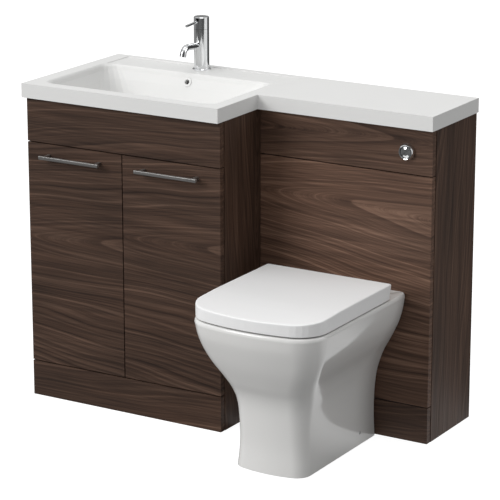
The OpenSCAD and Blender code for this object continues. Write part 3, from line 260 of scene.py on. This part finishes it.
# Where the figure's tip lies on each front, along and across the grain, which way its tongues open,
# and how light the board is.
FRONT_FIGURES = {
    "basin_fascia": (-0.62, 0.70, 1.0, 1.0), "left_door": (-0.50, 0.47, 1.0, 1.0),
    "right_door": (-0.17, 0.50, 1.0, 1.05), "basin_plinth": (0.4, 0.17, -1.0, 1.0),
    "wc_fascia": (0.62, 0.80, -1.0, 1.3), "wc_front_panel": (0.14, 0.60, 1.0, 1.8),
    "wc_plinth": (-0.3, -0.1, 1.0, 1.0),
}
# Nodes with another finish than that of their slot.
OTHER_FINISHES = {"overflow_ring": "white_plastic"}

slots = {entry["node"]: entry["material_slot"] for entry in frame["record"]["subparts"]}
for name, cad in nodes.items():
    cad.data.materials.clear()
    if name in FRONT_FIGURES:
        along, across, opens, tone = FRONT_FIGURES[name]
        cad.data.materials.append(walnut(f"walnut_{name}", False, (along, across), opens, tone))
    else:
        cad.data.materials.append(materials[OTHER_FINISHES.get(name, slots[name])])

# ------------------------------------------------------------------ the pan in finer steps

# The pan's forms in millimetres, as the part has them. Outside, from the floor up: height, half
# width, distance of the front from the foremost point, front corner radius, radius of the bowed
# front.
SKIRT_ROWS = np.array([
    [0, 102, 106, 40, 300], [60, 99, 111, 43, 305], [120, 99.7, 108, 46, 320],
    [170, 104.8, 102, 52, 345], [205, 113.5, 90, 55, 370], [240, 127, 67.5, 61, 405],
    [285, 151, 39.6, 64, 450], [322, 168, 21, 70, 480], [357, 178, 6.6, 79, 515],
    [388, 183, 0, 82, 543]], float)
# Mouth of the bowl, from the rim down: depth, half width, back and front measured from the pan's
# back and front, back and front corner radii, radius of the bow.
MOUTH_ROWS = np.array([
    [0, 132, 122, 48, 56, 84, 480], [8, 127, 127, 53, 58, 84, 460], [30, 125, 129, 56, 60, 82, 450],
    [80, 118, 132, 74, 60, 78, 380]], float)
PAN_X = 300.0  # the plane that halves the pan
PAN_BACK = 127.5
PAN_FRONT = -372.5
PAN_WALL = 12.0
BACK_CORNER = 12.0  # radius of the outside's back corners
LEAST_BACK_CORNER = 2.0  # least radius of the inside's back corners
LEAST_FRONT_CORNER = 6.0
RIM_Z = 398.0
RIM_HALF = 183.0
RIM_BACK = PAN_BACK - 0.1
RIM_IN, RIM_DOWN = 5.0, 10.0  # how far in and down the rim's round edge goes
# Radii of the rim's front corners and of its bow, at the top and the bottom of the round edge.
RIM_CORNER = (80.0, 82.0)
RIM_BOW = (540.0, 543.0)
WALL_DROP = 0.8  # the mouth's outside lies this part of its wall lower than its inside
NECK_Z = 368.0  # where the mouth's outside ends
# The hole for the floor fixing.
FIXING_Y = PAN_BACK - 86.0
FIXING_Z = 30.0
FIXING_R = 4.5
FIXING_DEPTH = 9.0
WITHIN_THE_WALL = 94.0  # distance from PAN_X that parts the outside from the inside there
# Points of half a ring.
BOW_POINTS = 20
CORNER_POINTS = 41
SIDE_POINTS = 32
BACK_CORNER_POINTS = 9
BACK_POINTS = 12
# Rings of each part, and the rows of the tables at which the mouth and the skirt's inside end.
MOUTH_RINGS = 13
RIM_RINGS = 12
SKIRT_RINGS = 109
INSIDE_RINGS = 30
MOUTH_END = 2.0
INSIDE_END = 8.7
MILLIMETRES = 1000.0  # in a metre
SHARP_ANGLE = math.radians(40.0)


def curve_through(rows, u):
    """Catmull-Rom curve: with t the fraction of u past row i and p0 to p3 the rows i - 1 to i + 2,
    it is (2 p1 + t (p2 - p0) + t^2 (2 p0 - 5 p1 + 4 p2 - p3) + t^3 (3 p1 - p0 - 3 p2 + p3)) / 2."""
    last = len(rows) - 1
    i = np.minimum(np.floor(u).astype(int), last - 1)
    t = (u - i)[:, None]
    p0, p1, p2, p3 = (rows[np.clip(i + k, 0, last)] for k in (-1, 0, 1, 2))
    return 0.5 * (2 * p1 + t * (p2 - p0) + t**2 * (2 * p0 - 5 * p1 + 4 * p2 - p3)
                  + t**3 * (3 * p1 - p0 - 3 * p2 + p3))


def outline_rings(width, back, front, back_radius, corner, bow, z):
    """Rings round the pan's axis, one for each value of the sizes. A ring starts in the middle of
    the front with an arc of radius bow, up to the angle a = atan2(width - corner, far) where it
    meets the corner's arc. That arc goes on to 90 degrees. Then come the straight side, the back
    corner's arc, the straight back and the mirror image of it all."""
    sizes = np.broadcast_arrays(width, back, front, back_radius, corner, bow, z)
    width, back, front, back_radius, corner, bow, z = (np.array(s, float)[:, None] for s in sizes)
    far = np.sqrt((bow - corner) ** 2 - (width - corner) ** 2)
    centre = front + bow - far
    meet = np.arctan2(width - corner, far)
    a = meet * np.linspace(0, 1, BOW_POINTS + 1)[:-1]
    b = meet + (np.pi / 2 - meet) * np.linspace(0, 1, CORNER_POINTS)
    c = np.pi / 2 * np.linspace(0, 1, BACK_CORNER_POINTS)
    t = np.linspace(0, 1, SIDE_POINTS + 2)[1:-1]
    level = np.linspace(1, 0, BACK_POINTS + 1)[1:]
    x = [bow * np.sin(a), width - corner + corner * np.sin(b), width + 0 * t,
         width - back_radius + back_radius * np.cos(c), (width - back_radius) * level]
    y = [front + bow - bow * np.cos(a), centre - corner * np.cos(b),
         centre + (back - back_radius - centre) * t, back - back_radius + back_radius * np.sin(c),
         back + 0 * level]
    x, y = np.concatenate(x, axis=1), np.concatenate(y, axis=1)
    x = np.concatenate([x, -x[:, -2:0:-1]], axis=1)
    y = np.concatenate([y, y[:, -2:0:-1]], axis=1)
    return np.stack([PAN_X + x, y, z + 0 * x], axis=-1)


def skirt_rings(u, wall):
    """Rings of the pan's outside, drawn in by wall, at the heights that u gives."""
    height, half, inset, corner, bow = curve_through(SKIRT_ROWS, u).T
    return outline_rings(half - wall, PAN_BACK - wall, PAN_FRONT + inset + wall,
                         max(BACK_CORNER - wall, LEAST_BACK_CORNER),
                         np.maximum(corner - wall, LEAST_FRONT_CORNER), bow - wall, height)


def mouth_rings(u, wall):
    """Rings of the bowl's mouth, grown by wall, at the depths that u gives."""
    depth, half, back, front, back_radius, corner, bow = curve_through(MOUTH_ROWS, u).T
    return outline_rings(half + wall, PAN_BACK - back + wall, PAN_FRONT + front - wall,
                         back_radius + wall, corner + wall, bow + wall,
                         RIM_Z - depth - WALL_DROP * wall)


def rim_rings(count):
    """The rim's round edge, a quarter of an ellipse: RIM_IN (1 - sin a) in from the outside and
    RIM_DOWN (1 - cos a) down, with a from 0 to 90 degrees. The radii grow with sin a."""
    a = np.linspace(0, np.pi / 2, count + 1)[:-1]
    inset = RIM_IN * (1 - np.sin(a))
    corner, bow = (top + (bottom - top) * np.sin(a) for top, bottom in (RIM_CORNER, RIM_BOW))
    return outline_rings(RIM_HALF - inset, RIM_BACK, PAN_FRONT + inset, BACK_CORNER, corner, bow,
                         RIM_Z - RIM_DOWN * (1 - np.cos(a)))


def ring_quads(rings, points):
    """Quads between neighbouring rings, with the last ring joined to the first."""
    j, i = np.meshgrid(np.arange(rings), np.arange(points), indexing="ij")
    after, beside = (j + 1) % rings, (i + 1) % points
    corners = (j * points + i, after * points + i, after * points + beside, j * points + beside)
    return np.stack(corners, axis=-1).reshape(-1, 4)


def with_fixing_hole(points, quads, side):
    """Opens a blind round hole in the pan's side. The quads near it go, and the edge that they
    leave, sorted by its angle round the hole's axis, is joined to a circle at the same angles, to a
    copy of that circle at the hole's end and to the end's middle. Gives points, quads and the end's
    faces."""
    near = np.hypot(points[:, 1] - FIXING_Y, points[:, 2] - FIXING_Z) < 2 * FIXING_R
    near &= (points[:, 0] - PAN_X) * side > WITHIN_THE_WALL
    gone = near[quads].any(axis=1)
    edges = np.stack([quads[gone], np.roll(quads[gone], -1, axis=1)], axis=-1).reshape(-1, 2)
    _, first, uses = np.unique(np.sort(edges, axis=1), axis=0, return_index=True,
                               return_counts=True)
    loop = np.unique(edges[first[uses == 1]])
    angle = np.arctan2(points[loop, 2] - FIXING_Z, points[loop, 1] - FIXING_Y)
    order = np.argsort(angle * side)
    loop, angle = loop[order], angle[order]
    plane = np.c_[points[loop][:, 1:], np.ones(len(loop))]
    tilt = np.linalg.lstsq(plane, points[loop, 0], rcond=None)[0]
    y, z = FIXING_Y + FIXING_R * np.cos(angle), FIXING_Z + FIXING_R * np.sin(angle)
    mouth = np.stack([tilt[0] * y + tilt[1] * z + tilt[2], y, z], axis=-1)
    end = mouth - [side * FIXING_DEPTH, 0, 0]
    count, start = len(loop), len(points)
    rows = np.stack([loop, start + np.arange(count), start + count + np.arange(count)])
    beside = np.roll(rows, -1, axis=1)
    collar = np.stack([rows[:-1], beside[:-1], beside[1:], rows[1:]], axis=-1).reshape(-1, 4)
    bottom = np.stack([rows[2], beside[2], np.full(count, start + 2 * count)], axis=-1)
    points = np.concatenate([points, mouth, end, end.mean(axis=0)[None]])
    return points, np.concatenate([quads[~gone], collar]), bottom


def solid_piece(name, points, faces, slot, body, *replaced):
    """A closed mesh from points in millimetres, smooth except where faces meet at over
    SHARP_ANGLE."""
    mesh = bpy.data.meshes.new(name)
    mesh.from_pydata((points / MILLIMETRES).tolist(), [], faces)
    mesh.polygons.foreach_set("use_smooth", np.ones(len(mesh.polygons), bool))
    mesh.set_sharp_from_angle(angle=SHARP_ANGLE)
    mesh.materials.append(materials[slot])
    piece = bpy.data.objects.new(name, mesh)
    scene.collection.objects.link(piece)
    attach(piece, body)
    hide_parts(*replaced)


# The surface goes up the inside of the mouth, over the rim, down the outside, up the inside of the
# skirt and down the outside of the mouth to the neck, where it meets its start.
skirt_top = len(SKIRT_ROWS) - 1
rings = np.concatenate([
    mouth_rings(np.linspace(MOUTH_END, 0, MOUTH_RINGS), 0.0), rim_rings(RIM_RINGS),
    skirt_rings(np.linspace(skirt_top, 0, SKIRT_RINGS), 0.0),
    skirt_rings(np.linspace(0, INSIDE_END, INSIDE_RINGS), PAN_WALL),
    mouth_rings(np.array([1.0, MOUTH_END]), PAN_WALL)])
rings[-1, :, 2] = NECK_Z
pan_points, pan_quads = rings.reshape(-1, 3), ring_quads(*rings.shape[:2])
pan_points, pan_quads, left_bottom = with_fixing_hole(pan_points, pan_quads, -1)
pan_points, pan_quads, right_bottom = with_fixing_hole(pan_points, pan_quads, 1)
pan_faces = pan_quads.tolist() + left_bottom.tolist() + right_bottom.tolist()
solid_piece("pan_skirt_and_rim", pan_points, pan_faces, "ceramic", "unit", "pan")

# ------------------------------------------------------------------ floor, light and camera

FLOOR_SIDE = 60.0
FLOOR_SQUARES = 4
FLOOR_GLOW = 0.92
# The floor under the two cabinets, where the floor's glow is left out as painted shade, so that
# only its real, dim light shows there: spans of x and y.
PAINTED_SHADE_SPANS = [((-0.55, 0.05), (-0.069, 0.372)), ((0.05, 0.55), (0.128, 0.372))]
PAINTED_SHADE_EDGE = 0.015  # how soft the edge of that painted shade is
# What mirrors see of the room: grey by compass bearing, in degrees from the front to the right.
WALLS = [(-180, 0.30), (-120, 0.22), (-80, 0.30), (-62, 0.12), (-20, 0.08), (0, 0.13), (40, 0.10),
         (62, 0.06), (80, 0.12), (98, 0.85), (124, 0.85), (134, 0.05), (165, 0.05), (180, 0.30)]
CEILING = (0.8, 0.8, 0.8)
CEILING_SPAN = (0.45, 0.75)  # a direction's height at which the ceiling starts and is full
AMBIENT = 0.76  # the even light on dull surfaces
LEFT_SHARE = 0.75  # the part of it that the left has more and the right less
# Square lamps: name, place, point that it shines at, side in metres, watts.
LAMPS = [("key", (-4.2, -7.5, 5.2), (0.0, 0.0, 0.5), 4.0, 350.0),
         ("rim", (6.0, 2.6, 3.5), (0.5, 0.0, 0.5), 3.0, 60.0),
         ("top", (0.3, -0.6, 6.5), (0.0, 0.0, 0.0), 3.0, 50.0)]
# The photo's camera, as solved from the unit's straight edges.
CAMERA_PLACE = (3.1828, -5.1504, 2.2044)
CAMERA_DOWN = 0.2789  # radians below level
CAMERA_LEFT = 0.54  # radians from looking straight at the front
FOCAL_LENGTH = 4.8659  # for a picture one unit wide
SENSOR_WIDTH = 36.0
CLIP_END = 100.0


def grid_mesh(name, side, squares):
    """A flat square grid centred on the origin: X and Y run evenly over the side, Z is zero."""
    steps = np.linspace(-0.5, 0.5, squares + 1)
    u, v = np.meshgrid(steps, steps)
    points = np.stack([u * side, v * side, np.zeros_like(u)], axis=-1).reshape(-1, 3)
    corner = np.arange(squares)[:, None] * (squares + 1) + np.arange(squares)[None, :]
    faces = np.stack([corner, corner + 1, corner + squares + 2, corner + squares + 1], axis=-1)
    mesh = bpy.data.meshes.new(name)
    mesh.from_pydata(points.tolist(), [], faces.reshape(-1, 4).tolist())
    return bpy.data.objects.new(name, mesh)


def room_grey(tree, x, y):
    """The grey that WALLS gives for the bearing atan2(x, -y), from two sockets with x and y."""
    bearing = tree.math("ARCTAN2", x, tree.math("MULTIPLY", y, -1.0))
    stops = [((degrees + 180.0) / 360.0, grey) for degrees, grey in WALLS]
    return tree.ramp(tree.rise(bearing, -math.pi, math.pi), *stops)


def unshaded_floor(shader, place):
    """1 on the open floor and 0 under the cabinets, a painted shade that takes the floor's glow
    away there:
    1 minus, for each rectangle, the product over x and y of (half width - distance from the middle)
    divided by the width of the soft edge, held between 0 and 1."""
    outside = 1.0
    for spans in PAINTED_SHADE_SPANS:
        painted_shade = 1.0
        for axis, (start, end) in zip("XY", spans):
            off = shader.math("ABSOLUTE", shader.math("SUBTRACT", place[axis], (start + end) / 2))
            inside = shader.math("SUBTRACT", (end - start) / 2, off)
            inside = shader.math("DIVIDE", inside, PAINTED_SHADE_EDGE)
            inside.node.use_clamp = True
            painted_shade = shader.math("MULTIPLY", inside, painted_shade)
        outside = shader.math("SUBTRACT", outside, painted_shade)
    return outside


def floor_material():
    """Pale floor. What looks straight at it sees it as white, except under the cabinets, where its
    glow is left out as painted shade. Mirrors see the room's greys in it, as they do in the walls."""
    shader = Shader("pale_floor")
    place = shader.axes(shader.position)
    rays = shader.node("ShaderNodeLightPath").outputs
    mirrored = rays["Is Glossy Ray"]
    seen = shader.math("ADD", rays["Is Camera Ray"], rays["Is Transmission Ray"])
    # painted shade: no glow on the floor under the cabinets, only its real, dim light
    seen = shader.math("MULTIPLY", seen, unshaded_floor(shader, place))
    grey = room_grey(shader, place["X"], place["Y"])
    shader.set(Base_Color=shader.mix(mirrored, FLOOR_PALE, BLACK), Roughness=0.9,
               Specular_IOR_Level=0.1, Emission_Color=shader.mix(mirrored, WHITE, grey),
               Emission_Strength=shader.math("MULTIPLY_ADD", seen, FLOOR_GLOW, mirrored))
    return shader.material


def studio_world():
    """A white room for the camera. Mirrors see a bright ceiling and walls that change with the
    compass direction. Dull surfaces get an even light, AMBIENT * (1 - LEFT_SHARE * x) from
    direction x."""
    world = bpy.data.worlds.new("studio")
    world.use_nodes = True
    tree = NodeTree(world.node_tree)
    direction = tree.axes(tree.node("ShaderNodeTexCoord").outputs["Generated"])
    rays = tree.node("ShaderNodeLightPath").outputs
    walls = room_grey(tree, direction["X"], direction["Y"])
    room = tree.mix(tree.rise(direction["Z"], *CEILING_SPAN), walls, CEILING)
    even = tree.math("MULTIPLY_ADD", direction["X"], -AMBIENT * LEFT_SHARE, AMBIENT)
    light = tree.mix(rays["Is Glossy Ray"], even, room)
    background = world.node_tree.nodes["Background"]
    tree.feed(background.inputs["Color"], tree.mix(rays["Is Camera Ray"], light, WHITE))
    tree.feed(background.inputs["Strength"], 1.0)
    return world


def add_lamp(name, place, aim, side, power):
    data = bpy.data.lights.new(name, "AREA")
    data.size = side
    data.energy = power
    lamp = bpy.data.objects.new(name, data)
    scene.collection.objects.link(lamp)
    lamp.location = place
    lamp.rotation_euler = (Vector(aim) - Vector(place)).to_track_quat("-Z", "Y").to_euler()


def add_camera():
    data = bpy.data.cameras.new("camera")
    data.sensor_width = SENSOR_WIDTH
    data.lens = FOCAL_LENGTH * SENSOR_WIDTH
    data.clip_end = CLIP_END
    camera = bpy.data.objects.new("camera", data)
    scene.collection.objects.link(camera)
    camera.location = CAMERA_PLACE
    camera.rotation_euler = Euler((math.pi / 2 - CAMERA_DOWN, 0.0, CAMERA_LEFT), "XYZ")
    scene.camera = camera


floor = grid_mesh("floor", FLOOR_SIDE, FLOOR_SQUARES)
scene.collection.objects.link(floor)
floor.data.materials.append(floor_material())
for lamp_settings in LAMPS:
    add_lamp(*lamp_settings)
scene.world = studio_world()
scene.view_settings.view_transform = "Standard"
add_camera()
